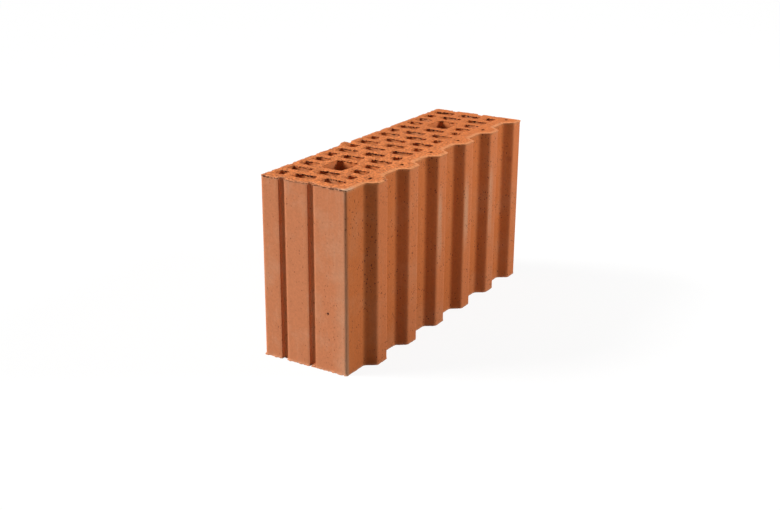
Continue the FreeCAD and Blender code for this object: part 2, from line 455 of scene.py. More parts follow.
def point_facts(tree, given, rims, outer_rim):
    """Where each point of the block lies, which way it faces, and the noise that its marks share."""
    place = add(tree, "GeometryNodeInputPosition")
    x, y, z = add(tree, "ShaderNodeSeparateXYZ", place).outputs
    normal = add(tree, "GeometryNodeInputNormal")
    level_normal = add(tree, "ShaderNodeVectorMath", normal, (1, 1, 0), operation="MULTIPLY")
    outward = add(tree, "ShaderNodeVectorMath", level_normal, operation="NORMALIZE")
    facing_x, facing_y, _ = add(tree, "ShaderNodeSeparateXYZ", outward).outputs
    hollow = add(tree, "GeometryNodeInputNamedAttribute", "hollow", data_type="FLOAT")
    of_side = add(tree, "ShaderNodeMath", 1.0, hollow, operation="SUBTRACT")

    # Distance to the nearer bed, and across the bed to the rims
    below = add(tree, "ShaderNodeMath", given["Height"], z, operation="SUBTRACT")
    depth = add(tree, "ShaderNodeMath", below, z, operation="MINIMUM")
    on_top = add(tree, "ShaderNodeMath", below, z, operation="LESS_THAN")
    plan = add(tree, "ShaderNodeCombineXYZ", x, y, given["Height"])
    rim = add(tree, "GeometryNodeProximity", rims, inputs={"Sample Position": plan}, target_element="EDGES")
    edge = add(tree, "GeometryNodeProximity", outer_rim, inputs={"Sample Position": plan},
               target_element="EDGES")
    from_edge = add(tree, "ShaderNodeMath", edge.outputs["Distance"], depth)

    # Unevenness at the sizes of a crumb, a tear and a hand, and the cleaner cut towards the far end
    shift = add(tree, "ShaderNodeMath", given["Seed"], SEED_STEP, operation="MULTIPLY")
    seeded = add(tree, "ShaderNodeVectorMath", place, shift)
    crumbs = add(tree, "ShaderNodeTexNoise", seeded, inputs={"Scale": per_mm(3.2), "Detail": 2})
    tears = add(tree, "ShaderNodeTexNoise", seeded, inputs={"Scale": per_mm(9), "Detail": 2})
    patches = add(tree, "ShaderNodeTexNoise", seeded, inputs={"Scale": per_mm(60), "Detail": 1})
    cleaner = add(tree, "ShaderNodeMapRange", y, COARSE_TO, CLEAN_FROM, 1, 0.6)
    return SimpleNamespace(
        place=place, x=x, y=y, z=z, outward=outward, facing_x=facing_x, facing_y=facing_y, hollow=hollow,
        of_side=of_side, below=below, depth=depth, on_top=on_top, plan=plan, rim=rim, edge=edge,
        from_edge=from_edge, seeded=seeded, crumbs=crumbs, tears=tears, patches=patches, cleaner=cleaner)


def knocked_corner(tree, at):
    """Size of the chip at the first tongue's upper corner."""
    to_corner = add(tree, "ShaderNodeVectorMath", at.place, WORN_CORNER, operation="DISTANCE")
    return add(tree, "ShaderNodeMapRange", to_corner.outputs["Value"], 2 * MM, 12 * MM, 4.5 * MM, 0,
               interpolation_type="SMOOTHSTEP")


def ribbed_lip(tree, at, knock):
    """Smooth lip zone along the top of the ribbed side, and where no corner is knocked off it."""
    strip = add(tree, "ShaderNodeMapRange", at.x, RECESS_X - 8 * MM, RECESS_X - 4 * MM, 0, 1)
    whole = add(tree, "ShaderNodeMapRange", knock, 0.5 * MM, 3 * MM, 1, 0)
    zone = add(tree, "ShaderNodeMapRange", at.from_edge, 1 * MM, 5.5 * MM, 1, 0,
               interpolation_type="SMOOTHSTEP")
    for share in (strip, at.on_top, whole):
        zone = add(tree, "ShaderNodeMath", zone, share, operation="MULTIPLY")
    return zone, whole


def bed_relief(tree, given, at, off_lip):
    """Rise of the upper bed: crumbs pulled up by the wire, long in its direction, and rims worn down."""
    pulled = add(tree, "ShaderNodeVectorMath", at.seeded, (1, 0.35, 1), operation="MULTIPLY")
    streaks = add(tree, "ShaderNodeTexNoise", pulled, inputs={"Scale": per_mm(4), "Detail": 3})
    rough = add(tree, "ShaderNodeMath", streaks, 0.5, operation="SUBTRACT")
    smoothed = add(tree, "ShaderNodeMath", off_lip, at.cleaner, operation="MULTIPLY")
    grain = add(tree, "ShaderNodeMath", smoothed, given["Grain"], operation="MULTIPLY")
    crumb = add(tree, "ShaderNodeMath", rough, grain, operation="MULTIPLY")
    worn = add(tree, "ShaderNodeMapRange", at.rim.outputs["Distance"], 0, 4 * MM, 1, 0,
               interpolation_type="SMOOTHSTEP")
    tear = add(tree, "ShaderNodeMapRange", at.tears, 0.35, 0.7, 0, 1)
    sag = add(tree, "ShaderNodeMath", worn, tear, operation="MULTIPLY")
    sagged = add(tree, "ShaderNodeMath", sag, given["Sag"], operation="MULTIPLY")
    lift = add(tree, "ShaderNodeMath", crumb, sagged, operation="SUBTRACT")
    at_bed = add(tree, "ShaderNodeMapRange", at.depth, 0, 0.3 * MM, 1, 0)
    upper_only = add(tree, "ShaderNodeMath", at_bed, at.on_top, operation="MULTIPLY")
    return add(tree, "ShaderNodeMath", lift, upper_only, operation="MULTIPLY")


def burr_share(tree, at):
    """Where burrs hang: the wire left by the rims that face the near end, and pushed crumbs over them."""
    exit_side = add(tree, "ShaderNodeMapRange", at.facing_y, 0.1, -0.75, 0.12, 1,
                    interpolation_type="SMOOTHSTEP")
    uneven = add(tree, "ShaderNodeMapRange", at.patches, 0.35, 0.62, 0.6, 1)
    exit_rim = add(tree, "ShaderNodeMath", exit_side, uneven, operation="MULTIPLY")

    # They are smaller on the outer rim, and slight on the tongues and in their core holes
    of_rim = add(tree, "ShaderNodeMapRange", at.hollow, 0, 1, 0.72, 1)
    off_tongues = add(tree, "ShaderNodeMapRange", at.x, RECESS_X - 1.5 * MM, RECESS_X + 1 * MM, 1, 0.15)
    rim_kind = add(tree, "ShaderNodeMath", of_rim, off_tongues, operation="MULTIPLY")
    in_core = add(tree, "ShaderNodeMath", at.x, CORE_HOLES_X, operation="GREATER_THAN")
    of_core = add(tree, "ShaderNodeMath", in_core, at.hollow, operation="MULTIPLY")
    off_core = add(tree, "ShaderNodeMath", of_core, -0.85, 1, operation="MULTIPLY_ADD")
    open_rim = add(tree, "ShaderNodeMath", rim_kind, off_core, operation="MULTIPLY")
    return add(tree, "ShaderNodeMath", exit_rim, open_rim, operation="MULTIPLY")


def burr_reach(tree, given, at, share):
    """How far the burrs hang out over their rims, in teeth."""
    teeth = add(tree, "ShaderNodeMapRange", at.crumbs, 0.42, 0.62, 0, 1, interpolation_type="SMOOTHSTEP")
    hang = add(tree, "ShaderNodeMapRange", at.depth, 0.5 * MM, 2.2 * MM, 1, 0,
               interpolation_type="SMOOTHSTEP")
    tooth = add(tree, "ShaderNodeMath", teeth, hang, operation="MULTIPLY")
    reach = add(tree, "ShaderNodeMath", tooth, share, operation="MULTIPLY")
    return add(tree, "ShaderNodeMath", reach, given["Burr"], operation="MULTIPLY")


def lip_reach(tree, given, at, whole):
    """How far the lip along the top of the ribbed side stands out."""
    ribbed = add(tree, "ShaderNodeMapRange", at.facing_x, 0.2, 0.9, 0, 1)
    skirt = add(tree, "ShaderNodeMapRange", at.below, 0.4 * MM, 3.6 * MM, 1, 0,
                interpolation_type="SMOOTHSTEP")
    share = add(tree, "ShaderNodeMath", ribbed, skirt, operation="MULTIPLY")
    waver = add(tree, "ShaderNodeTexNoise", at.seeded, inputs={"Scale": per_mm(20), "Detail": 1})
    uneven = add(tree, "ShaderNodeMapRange", waver, 0.35, 0.65, 0.6, 1)
    thinned = add(tree, "ShaderNodeMath", uneven, at.cleaner, operation="MULTIPLY")
    unbroken = add(tree, "ShaderNodeMath", thinned, whole, operation="MULTIPLY")
    reach = add(tree, "ShaderNodeMath", share, unbroken, operation="MULTIPLY")
    beyond = add(tree, "ShaderNodeMath", at.x, RECESS_X - 1 * MM, operation="GREATER_THAN")
    of_ribs = add(tree, "ShaderNodeMath", reach, beyond, operation="MULTIPLY")
    return add(tree, "ShaderNodeMath", of_ribs, given["Lip"], operation="MULTIPLY")


def side_reach(tree, given, at):
    """Slow warp of the outer sides, and the die's upright drag lines."""
    slow = add(tree, "ShaderNodeTexNoise", at.seeded, inputs={"Scale": per_mm(90), "Detail": 1})
    slow_swing = add(tree, "ShaderNodeMath", slow, 0.5, operation="SUBTRACT")
    warp = add(tree, "ShaderNodeMath", slow_swing, given["Warp"], operation="MULTIPLY")
    upright = add(tree, "ShaderNodeVectorMath", at.seeded, (1, 1, 0.02), operation="MULTIPLY")
    lines = add(tree, "ShaderNodeTexNoise", upright, inputs={"Scale": per_mm(4), "Detail": 2})
    line_swing = add(tree, "ShaderNodeMath", lines, 0.5, operation="SUBTRACT")
    drag = add(tree, "ShaderNodeMath", line_swing, given["Drag"], operation="MULTIPLY")
    both = add(tree, "ShaderNodeMath", warp, drag)
    return add(tree, "ShaderNodeMath", both, at.of_side, operation="MULTIPLY")


def foot_reach(tree, at):
    """Thin burrs spread at the foot by the block's weight, and clay left in the second groove there."""
    spread = add(tree, "ShaderNodeMapRange", at.z, 0.2 * MM, 2.5 * MM, 0.8 * MM, 0)
    in_places = add(tree, "ShaderNodeMapRange", at.tears, 0.45, 0.65, 0, 1)
    burr = add(tree, "ShaderNodeMath", spread, in_places, operation="MULTIPLY")
    foot = add(tree, "ShaderNodeMath", burr, at.of_side, operation="MULTIPLY")
    near_face = add(tree, "ShaderNodeMath", at.facing_y, -0.7, operation="LESS_THAN")
    half_in = BLOCK_LOW.y + GROOVE_DEPTH / 2
    past_it = BLOCK_LOW.y + 2 * GROOVE_DEPTH
    set_back = add(tree, "ShaderNodeMath", at.y, half_in, operation="GREATER_THAN")
    not_far = add(tree, "ShaderNodeMath", at.y, past_it, operation="LESS_THAN")
    second = add(tree, "ShaderNodeMath", at.x, GROOVES_X, operation="GREATER_THAN")
    plug = add(tree, "ShaderNodeMapRange", at.z, 0.5 * MM, 4 * MM, 0.85 * GROOVE_DEPTH, 0,
               interpolation_type="SMOOTHSTEP")
    for share in (near_face, set_back, not_far, second, at.of_side):
        plug = add(tree, "ShaderNodeMath", plug, share, operation="MULTIPLY")
    return add(tree, "ShaderNodeMath", foot, plug)


def small_chips(tree, given, at, off_lip):
    """Size of the small chips along the outer edges of both beds."""
    loss = add(tree, "ShaderNodeMapRange", at.tears, 0.52, 0.72, 0.1, 1, interpolation_type="SMOOTHSTEP")
    of_bed = add(tree, "ShaderNodeMapRange", at.on_top, 0, 1, 0.3, 1)
    loss_here = add(tree, "ShaderNodeMath", loss, of_bed, operation="MULTIPLY")
    largest = add(tree, "ShaderNodeMath", off_lip, given["Chip"], operation="MULTIPLY")
    return add(tree, "ShaderNodeMath", loss_here, largest, operation="MULTIPLY")


def plain_edge(tree, given, at):
    """Size of the chips along the top of the plain side, and the rise of the flake beside the deepest."""
    plain = add(tree, "ShaderNodeMapRange", at.x, BLOCK_LOW.x + 9 * MM, BLOCK_LOW.x + 4 * MM, 0, 1)
    plain_top = add(tree, "ShaderNodeMath", plain, at.on_top, operation="MULTIPLY")

    # Notches where the clay between two rows meets the edge
    first_web = BLOCK_LOW.y + FIRST_ROW + ROW_PITCH / 2
    turn = add(tree, "ShaderNodeMath", at.y, first_web, operation="SUBTRACT")
    phase = add(tree, "ShaderNodeMath", turn, 2 * math.pi / ROW_PITCH, operation="MULTIPLY")
    wave = add(tree, "ShaderNodeMath", phase, operation="COSINE")
    scallop = add(tree, "ShaderNodeMapRange", wave, 0.1, 1, 0, 1, interpolation_type="SMOOTHSTEP")
    spans = add(tree, "ShaderNodeTexNoise", at.seeded, inputs={"Scale": per_mm(34), "Detail": 0})
    strength = add(tree, "ShaderNodeMapRange", spans, 0.35, 0.65, 0, 1)
    notch_share = add(tree, "ShaderNodeMath", scallop, strength, operation="MULTIPLY")
    notch = add(tree, "ShaderNodeMath", notch_share, given["Notch"], operation="MULTIPLY")

    # One deep chip with ragged sides
    to_chip = add(tree, "ShaderNodeMath", at.y, DEEP_CHIP_Y, operation="SUBTRACT")
    chip_gap = add(tree, "ShaderNodeMath", to_chip, operation="ABSOLUTE")
    ragged = add(tree, "ShaderNodeMath", at.tears, 12 * MM, -6 * MM, operation="MULTIPLY_ADD")
    chip_run = add(tree, "ShaderNodeMath", chip_gap, ragged)
    deep = add(tree, "ShaderNodeMapRange", chip_run, 2 * MM, 8 * MM, 7 * MM, 0,
               interpolation_type="SMOOTHSTEP")

    # A raised flake beside it, with no notch
    to_flake = add(tree, "ShaderNodeMath", at.y, FLAKE_Y, operation="SUBTRACT")
    flake_gap = add(tree, "ShaderNodeMath", to_flake, operation="ABSOLUTE")
    flake_run = add(tree, "ShaderNodeMapRange", flake_gap, 5 * MM, 10 * MM, 1, 0,
                    interpolation_type="SMOOTHSTEP")
    flake_side = add(tree, "ShaderNodeMapRange", at.from_edge, 1 * MM, 9 * MM, 2.4 * MM, 0)
    flake_rise = add(tree, "ShaderNodeMath", flake_run, flake_side, operation="MULTIPLY")
    flake = add(tree, "ShaderNodeMath", flake_rise, plain_top, operation="MULTIPLY")
    off_flake = add(tree, "ShaderNodeMath", 1.0, flake_run, operation="SUBTRACT")
    notched = add(tree, "ShaderNodeMath", notch, off_flake, operation="MULTIPLY")
    loss = add(tree, "ShaderNodeMath", notched, deep, operation="MAXIMUM")
    return add(tree, "ShaderNodeMath", loss, plain_top, operation="MULTIPLY"), flake


def cut_back(tree, at, chip):
    """Cuts an edge back to a slope as wide as the chip: the move inwards, and the fall from its bed."""
    over = add(tree, "ShaderNodeMath", chip, at.from_edge, operation="SUBTRACT")
    lost = add(tree, "ShaderNodeMath", over, 0, operation="MAXIMUM")
    cut = add(tree, "ShaderNodeMath", lost, 0.5, operation="MULTIPLY")
    from_rim = add(tree, "ShaderNodeVectorMath", at.plan, at.edge.outputs["Position"], operation="SUBTRACT")
    inward_mix = add(tree, "ShaderNodeVectorMath", from_rim, at.outward, operation="SUBTRACT")
    inward = add(tree, "ShaderNodeVectorMath", inward_mix, operation="NORMALIZE")
    away_from_bed = add(tree, "ShaderNodeMath", at.on_top, -2, 1, operation="MULTIPLY_ADD")
    fall = add(tree, "ShaderNodeMath", cut, away_from_bed, operation="MULTIPLY")
    return add(tree, "ShaderNodeVectorMath", inward, inputs={"Scale": cut}, operation="SCALE"), fall


def torn_and_worn(tree, mesh, given, rims, outer_rim):
    """Tears, burrs, chips and warp, moved into the mesh, and the attributes that the clay reads."""
    at = point_facts(tree, given, rims, outer_rim)
    knock = knocked_corner(tree, at)
    lip_zone, whole = ribbed_lip(tree, at, knock)
    off_lip = add(tree, "ShaderNodeMath", lip_zone, -0.7, 1, operation="MULTIPLY_ADD")
    burrs = burr_share(tree, at)
    burr = burr_reach(tree, given, at, burrs)
    lip = lip_reach(tree, given, at, whole)

    # What the clay needs to know
    bed_face = add(tree, "ShaderNodeMapRange", at.depth, 0.2 * MM, 1.6 * MM, 1, 0)
    arris = add(tree, "ShaderNodeMapRange", at.from_edge, 0.5 * MM, 4 * MM, 1, 0,
                interpolation_type="SMOOTHSTEP")
    marked = mesh
    for name, value in zip(MARKED, (bed_face, burrs, arris, lip_zone)):
        marked = add(tree, "GeometryNodeStoreNamedAttribute", marked,
                     inputs={"Name": name, "Value": value}, data_type="FLOAT", domain="POINT")

    # Outwards: burrs, lips, warp and foot, less what is chipped off
    pushed = add(tree, "ShaderNodeMath", burr, lip)
    sides = add(tree, "ShaderNodeMath", side_reach(tree, given, at), foot_reach(tree, at))
    reach = add(tree, "ShaderNodeMath", pushed, sides)
    plain_chip, flake = plain_edge(tree, given, at)
    small_chip = small_chips(tree, given, at, off_lip)
    edge_chip = add(tree, "ShaderNodeMath", small_chip, knock, operation="MAXIMUM")
    chip = add(tree, "ShaderNodeMath", edge_chip, plain_chip, operation="MAXIMUM")
    cut_in, cut_fall = cut_back(tree, at, chip)
    pushed_out = add(tree, "ShaderNodeVectorMath", at.outward, inputs={"Scale": reach}, operation="SCALE")
    level_move = add(tree, "ShaderNodeVectorMath", pushed_out, cut_in)

    # Up and down: burrs and lips droop, the flake stands up
    sunk = add(tree, "ShaderNodeMath", burr, -0.3, bed_relief(tree, given, at, off_lip),
               operation="MULTIPLY_ADD")
    drooped = add(tree, "ShaderNodeMath", lip, -0.35, sunk, operation="MULTIPLY_ADD")
    flaked = add(tree, "ShaderNodeMath", drooped, flake)
    rise = add(tree, "ShaderNodeMath", flaked, cut_fall)
    lift = add(tree, "ShaderNodeCombineXYZ", inputs={"Z": rise})
    move = add(tree, "ShaderNodeVectorMath", level_move, lift)
    moved = add(tree, "GeometryNodeSetPosition", marked, inputs={"Offset": move})

    # Nothing goes through the floor
    x, y, z = add(tree, "ShaderNodeSeparateXYZ", add(tree, "GeometryNodeInputPosition")).outputs
    floor = add(tree, "ShaderNodeMath", z, 0, operation="MAXIMUM")
    settled = add(tree, "ShaderNodeCombineXYZ", x, y, floor)
    return add(tree, "GeometryNodeSetPosition", moved, inputs={"Position": settled})


def block_tree():
    """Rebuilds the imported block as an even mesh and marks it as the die, the wire and handling did."""
    sockets = [(label, "NodeSocketFloat") for label in (*BLOCK_SIZES, *MARK_SIZES)]
    sockets += [(label, "NodeSocketInt") for label in MARK_COUNTS]
    sockets.append(("Clay", "NodeSocketMaterial"))
    tree, given = start_tree("wire_cut_block", sockets)
    bed, rims, outer_rim = upper_bed(tree, given)
    cut_bed = bed_mesh(tree, given, bed, rims, outer_rim)
    walls = block_walls(tree, cut_bed, given)
    closed = lower_bed(tree, walls)
    worn = torn_and_worn(tree, closed, given, rims, outer_rim)
    real = add(tree, "GeometryNodeRealizeInstances", worn)
    fired = add(tree, "GeometryNodeSetMaterial", real, inputs={"Material": given["Clay"]})
    add(tree, "NodeGroupOutput", fired)
    return tree


def clay_facts(tree):
    """Where a point of the clay lies, what its mesh says of it, and the patterns that its coats share."""
    place = add(tree, "ShaderNodeTexCoord").outputs["Object"]
    x, y, z = add(tree, "ShaderNodeSeparateXYZ", place).outputs
    at = SimpleNamespace(place=place, x=x, y=y, z=z)
    for name in ("hollow", *MARKED):
        setattr(at, name, add(tree, "ShaderNodeAttribute", attribute_name=name).outputs["Fac"])
    at.below = add(tree, "ShaderNodeMath", BLOCK_HIGH.z, z, operation="SUBTRACT")

    # Ribbed side and outer strips of the tongues, but not the far end
    off_end = add(tree, "ShaderNodeMapRange", y, BLOCK_HIGH.y - 3 * MM, BLOCK_HIGH.y - 1 * MM, 1, 0)
    at.ribbed = add(tree, "ShaderNodeMapRange", x, RECESS_X - 2 * MM, RECESS_X - 0.5 * MM, 0, off_end)
    at.on_tip = add(tree, "ShaderNodeMapRange", x, RECESS_X + 9 * MM, BLOCK_HIGH.x - 1 * MM, 0, off_end)

    # Upright streaks of the die. The clay's own grit is finer than a millimetre and would not show,
    # so grain and crumbs are drawn at two to three.
    upright = add(tree, "ShaderNodeMapping", place, inputs={"Scale": (1, 1, 0.06)})
    at.streaks = add(tree, "ShaderNodeTexNoise", upright, inputs={"Scale": per_mm(5), "Detail": 2})
    at.grain = add(tree, "ShaderNodeTexNoise", place, inputs={"Scale": per_mm(2.6), "Detail": 2})
    at.crumbs = add(tree, "ShaderNodeTexNoise", place, inputs={"Scale": per_mm(2.2), "Detail": 3})

    # Cut beds, with a ragged border, and how crumbly they are: less towards the far end
    ragged = add(tree, "ShaderNodeMath", at.crumbs, 0.8, at.torn, operation="MULTIPLY_ADD")
    torn_there = add(tree, "ShaderNodeMapRange", ragged, 0.8, 1.1, 0, 1)
    unsmoothed = add(tree, "ShaderNodeMath", at.lip, -0.75, 1, operation="MULTIPLY_ADD")
    at.cut = add(tree, "ShaderNodeMath", torn_there, unsmoothed, operation="MULTIPLY")
    at.coarse = add(tree, "ShaderNodeMapRange", y, COARSE_TO, CLEAN_FROM, 1, 0)
    crumbliness = add(tree, "ShaderNodeMapRange", at.coarse, 0, 1, 0.45, 1)
    at.crumbly = add(tree, "ShaderNodeMath", at.cut, crumbliness, operation="MULTIPLY")
    return at


def groove_painted_bounce(tree, at):
    """Plaster grooves, with warm bounce light painted inside them in the colour of fresh clay."""
    along = add(tree, "ShaderNodeMath", at.y, operation="ABSOLUTE")
    from_end = add(tree, "ShaderNodeMath", BLOCK_HIGH.y, along, operation="SUBTRACT")
    in_groove = add(tree, "ShaderNodeMapRange", from_end, 1 * MM, 3 * MM, 0, 0.3)
    from_grooves = add(tree, "ShaderNodeMath", at.x, GROOVES_X, operation="SUBTRACT")
    off_grooves = add(tree, "ShaderNodeMath", from_grooves, operation="ABSOLUTE")
    by_groove = add(tree, "ShaderNodeMath", off_grooves, 30 * MM, operation="LESS_THAN")
    return add(tree, "ShaderNodeMath", in_groove, by_groove, operation="MULTIPLY")


def hole_colour_with_painted_shade(tree, at, colours):
    """Walls of the holes, with painted shade that browns them with depth, and painted shade from the rim
    down in the small core holes.
    """
    # Painted shade: the deeper down the wall, the more of the pore colour.
    depth = add(tree, "ShaderNodeMapRange", at.below, 1 * MM, 15 * MM, 0, 0.76)
    in_core = add(tree, "ShaderNodeMath", at.x, CORE_HOLES_X, operation="GREATER_THAN")
    painted_core_shade = add(tree, "ShaderNodeMapRange", at.below, 0.3 * MM, 1.5 * MM, 0, in_core)
    brown = add(tree, "ShaderNodeMath", depth, painted_core_shade, operation="MAXIMUM")
    wall = add(tree, "ShaderNodeMix", brown, inputs={6: (*colours.inside, 1), 7: (*colours.pore_and_painted_shade, 1)},
               data_type="RGBA")
    return wall.outputs[2]


def scum_share(tree, at):
    """Scum that dried on the skin in clouds and upright streaks, and a pale band beside the near corner."""
    clouds = add(tree, "ShaderNodeTexNoise", at.place,
                 inputs={"Scale": per_mm(45), "Detail": 4, "Roughness": 0.6})
    cloud = add(tree, "ShaderNodeMapRange", clouds, 0.48, 0.72, 0, 0.3)
    streak = add(tree, "ShaderNodeMapRange", at.streaks, 0.55, 0.8, 0, 0.15)
    there = add(tree, "ShaderNodeMath", cloud, streak)
    more_on_ends = add(tree, "ShaderNodeMapRange", at.ribbed, 0, 1, 1, 0.45)
    scum = add(tree, "ShaderNodeMath", there, more_on_ends, operation="MULTIPLY")
    near_end = add(tree, "ShaderNodeMath", at.y, BLOCK_LOW.y + 2 * MM, operation="LESS_THAN")
    by_corner = add(tree, "ShaderNodeMapRange", at.x, RECESS_X - 24 * MM, RECESS_X - 6 * MM, -0.06, 0.2)
    off_top = add(tree, "ShaderNodeMapRange", at.z, 140 * MM, 220 * MM, 1, 0.2)
    band_there = add(tree, "ShaderNodeMath", by_corner, off_top, operation="MULTIPLY")
    band = add(tree, "ShaderNodeMath", band_there, near_end, operation="MULTIPLY")
    return add(tree, "ShaderNodeMath", scum, band, use_clamp=True)


def salt_share(tree, at):
    """Pale salt streaks down the third to fifth tongues, a little to the near side of their middles."""
    third_streak = BLOCK_LOW.y + FIRST_TONGUE + 2 * TONGUE_PITCH - 5 * MM
    along = add(tree, "ShaderNodeMath", at.y, third_streak, operation="SUBTRACT")
    tongue = add(tree, "ShaderNodeMath", along, TONGUE_PITCH, operation="DIVIDE")
    nearest = add(tree, "ShaderNodeMath", tongue, operation="ROUND")
    off_middle = add(tree, "ShaderNodeMath", tongue, nearest, operation="SUBTRACT")
    aside = add(tree, "ShaderNodeMath", off_middle, operation="ABSOLUTE")
    salt = add(tree, "ShaderNodeMapRange", aside, 3.5 * MM / TONGUE_PITCH, 7 * MM / TONGUE_PITCH, 1, 0)
    from_fourth = add(tree, "ShaderNodeMath", nearest, 1, operation="SUBTRACT")
    tongue_gap = add(tree, "ShaderNodeMath", from_fourth, operation="ABSOLUTE")
    these = add(tree, "ShaderNodeMath", tongue_gap, 1.5, operation="LESS_THAN")
    up = add(tree, "ShaderNodeMath", at.z, SALT_HEIGHT, operation="SUBTRACT")
    off_height = add(tree, "ShaderNodeMath", up, operation="ABSOLUTE")
    run = add(tree, "ShaderNodeMapRange", off_height, 25 * MM, 60 * MM, 1, 0)
    uneven = add(tree, "ShaderNodeMapRange", at.streaks, 0.4, 0.6, 0.55, 1)
    for share in (these, run, at.on_tip, uneven):
        salt = add(tree, "ShaderNodeMath", salt, share, operation="MULTIPLY")
    return add(tree, "ShaderNodeMath", salt, 0.5, operation="MULTIPLY")


def bed_colour(tree, at, colours):
    """Cut beds, brighter where the wire tore coarsely and redder where it cut cleanly."""
    bed = add(tree, "ShaderNodeMix", at.coarse, inputs={6: (*colours.clean, 1), 7: (*colours.torn, 1)},
              data_type="RGBA")
    return bed.outputs[2]


def lip_share(tree, at):
    """Lip along the top of the ribbed side, worn most where the bed is coarse."""
    wear = add(tree, "ShaderNodeMapRange", at.coarse, 0, 1, 0.4, 0.7)
    return add(tree, "ShaderNodeMath", at.lip, wear, operation="MULTIPLY")


def pale_corner_share(tree, at):
    """Upper near corner of the ribbed side, worn pale."""
    to_corner = add(tree, "ShaderNodeVectorMath", at.place, PALE_CORNER, operation="DISTANCE")
    knocked = add(tree, "ShaderNodeMapRange", to_corner.outputs["Value"], 5 * MM, 22 * MM, 0.85, 0)
    on_bed = add(tree, "ShaderNodeMapRange", at.torn, 0, 1, 0.3, 1)
    edge = add(tree, "ShaderNodeMath", at.lip, at.arris, operation="MAXIMUM")
    bed_edge = add(tree, "ShaderNodeMath", on_bed, edge, operation="MULTIPLY")
    return add(tree, "ShaderNodeMath", knocked, bed_edge, operation="MULTIPLY")


def grain_shade(tree, at):
    """Darker and paler grain of the clay body, strongest on the crumbly bed."""
    darkest = add(tree, "ShaderNodeMapRange", at.crumbly, 0, 1, 0.93, 0.62)
    palest = add(tree, "ShaderNodeMapRange", at.crumbly, 0, 1, 1.05, 1.42)
    return add(tree, "ShaderNodeMapRange", at.grain, 0.32, 0.68, darkest, palest)


def gap_specks_and_painted_shade(tree, at):
    """Dark specks and painted shade in the gaps between the crumbs of the beds."""
    gaps = add(tree, "ShaderNodeTexNoise", at.place, inputs={"Scale": per_mm(3.4), "Detail": 1})
    gap = add(tree, "ShaderNodeMapRange", gaps, 0.32, 0.44, 0.7, 0)
    return add(tree, "ShaderNodeMath", gap, at.crumbly, operation="MULTIPLY")


def pore_share(tree, at):
    """Pores, slightly tall, in clusters and darker on the ribbed side, and a smudge on the last flank."""
    tall = add(tree, "ShaderNodeMapping", at.place, inputs={"Scale": (1, 1, 0.65)})
    pores = 0.0
    for spacing, largest, on_ends, on_ribbed in PORES:
        cells = add(tree, "ShaderNodeTexVoronoi", tall, inputs={"Scale": per_mm(spacing)})
        radius = add(tree, "ShaderNodeMath", cells.outputs["Color"], largest, operation="MULTIPLY")
        inside = add(tree, "ShaderNodeMath", radius, cells.outputs["Distance"], operation="SUBTRACT")
        dark = add(tree, "ShaderNodeMapRange", inside, 0, 0.04, 0, 1)
        where = add(tree, "ShaderNodeMapRange", at.ribbed, 0, 1, on_ends, on_ribbed)
        shade = add(tree, "ShaderNodeMath", dark, where, operation="MULTIPLY")
        pores = add(tree, "ShaderNodeMath", pores, shade, operation="MAXIMUM")
    clusters = add(tree, "ShaderNodeTexNoise", at.place, inputs={"Scale": per_mm(28), "Detail": 2})
    crowd = add(tree, "ShaderNodeMapRange", clusters, 0.42, 0.58, 0.15, 1)
    crowded = add(tree, "ShaderNodeMath", pores, crowd, operation="MULTIPLY")
    to_smudge = add(tree, "ShaderNodeVectorMath", at.place, SMUDGE, operation="DISTANCE")
    smudge = add(tree, "ShaderNodeMapRange", to_smudge.outputs["Value"], 2 * MM, 6 * MM, 0.25, 0)
    smudged = add(tree, "ShaderNodeMath", crowded, smudge, operation="MAXIMUM")
    off_bed = add(tree, "ShaderNodeMath", 1.0, at.torn, operation="SUBTRACT", use_clamp=True)
    return add(tree, "ShaderNodeMath", smudged, off_bed, operation="MULTIPLY")


def corner_tint_and_painted_bounce(tree, at):
    """Pale grey tint down the near corner of the ribbed side, with painted bounce light that grows towards
    the foot.
    """
    on_ribs = add(tree, "ShaderNodeMapRange", at.x, RECESS_X - 3.3 * MM, RECESS_X - 2 * MM, 0, 1)
    on_end = add(tree, "ShaderNodeMapRange", at.y, BLOCK_LOW.y + 4.8 * MM, BLOCK_LOW.y + 3.4 * MM, 0, 1)
    corner = add(tree, "ShaderNodeMath", on_ribs, on_end, operation="MULTIPLY")
    # Painted bounce light from the floor: strongest at the foot, nearly gone at the top.
    tint_and_painted_bounce = add(tree, "ShaderNodeMapRange", at.z, 0, 170 * MM, 0.45, 0.05)
    return add(tree, "ShaderNodeMath", corner, tint_and_painted_bounce, operation="MULTIPLY")


def painted_burr_shadow_share(tree, at):
    """Painted shadow on the torn clay under the burrs, with a ragged lower edge, and painted shade in one
    deep pit in the near end.
    """
    flutter = add(tree, "ShaderNodeTexNoise", at.place, inputs={"Scale": per_mm(3), "Detail": 2})
    lowest = add(tree, "ShaderNodeMapRange", flutter, 0.35, 0.65, 0.8 * MM, 4 * MM)
    reach = add(tree, "ShaderNodeMath", lowest, at.burr, operation="MULTIPLY")
    gap = add(tree, "ShaderNodeMath", reach, at.below, operation="SUBTRACT")
    under = add(tree, "ShaderNodeMapRange", gap, 0, 0.6 * MM, 0, 1)
    off_rim = add(tree, "ShaderNodeMapRange", at.below, 0.4 * MM, 0.9 * MM, 0, 1)
    there = add(tree, "ShaderNodeMath", under, off_rim, operation="MULTIPLY")
    darkness = add(tree, "ShaderNodeMapRange", at.hollow, 0, 1, 0.88, 0.97)
    # Painted shadow: stronger in the holes than on the outer rim.
    painted_burr_shadows = add(tree, "ShaderNodeMath", there, darkness, operation="MULTIPLY")
    to_pit = add(tree, "ShaderNodeVectorMath", at.place, PIT, operation="DISTANCE")
    pit = add(tree, "ShaderNodeMapRange", to_pit.outputs["Value"], 1.2 * MM, 1.9 * MM, 1, 0)
    return add(tree, "ShaderNodeMath", painted_burr_shadows, pit, operation="MAXIMUM")


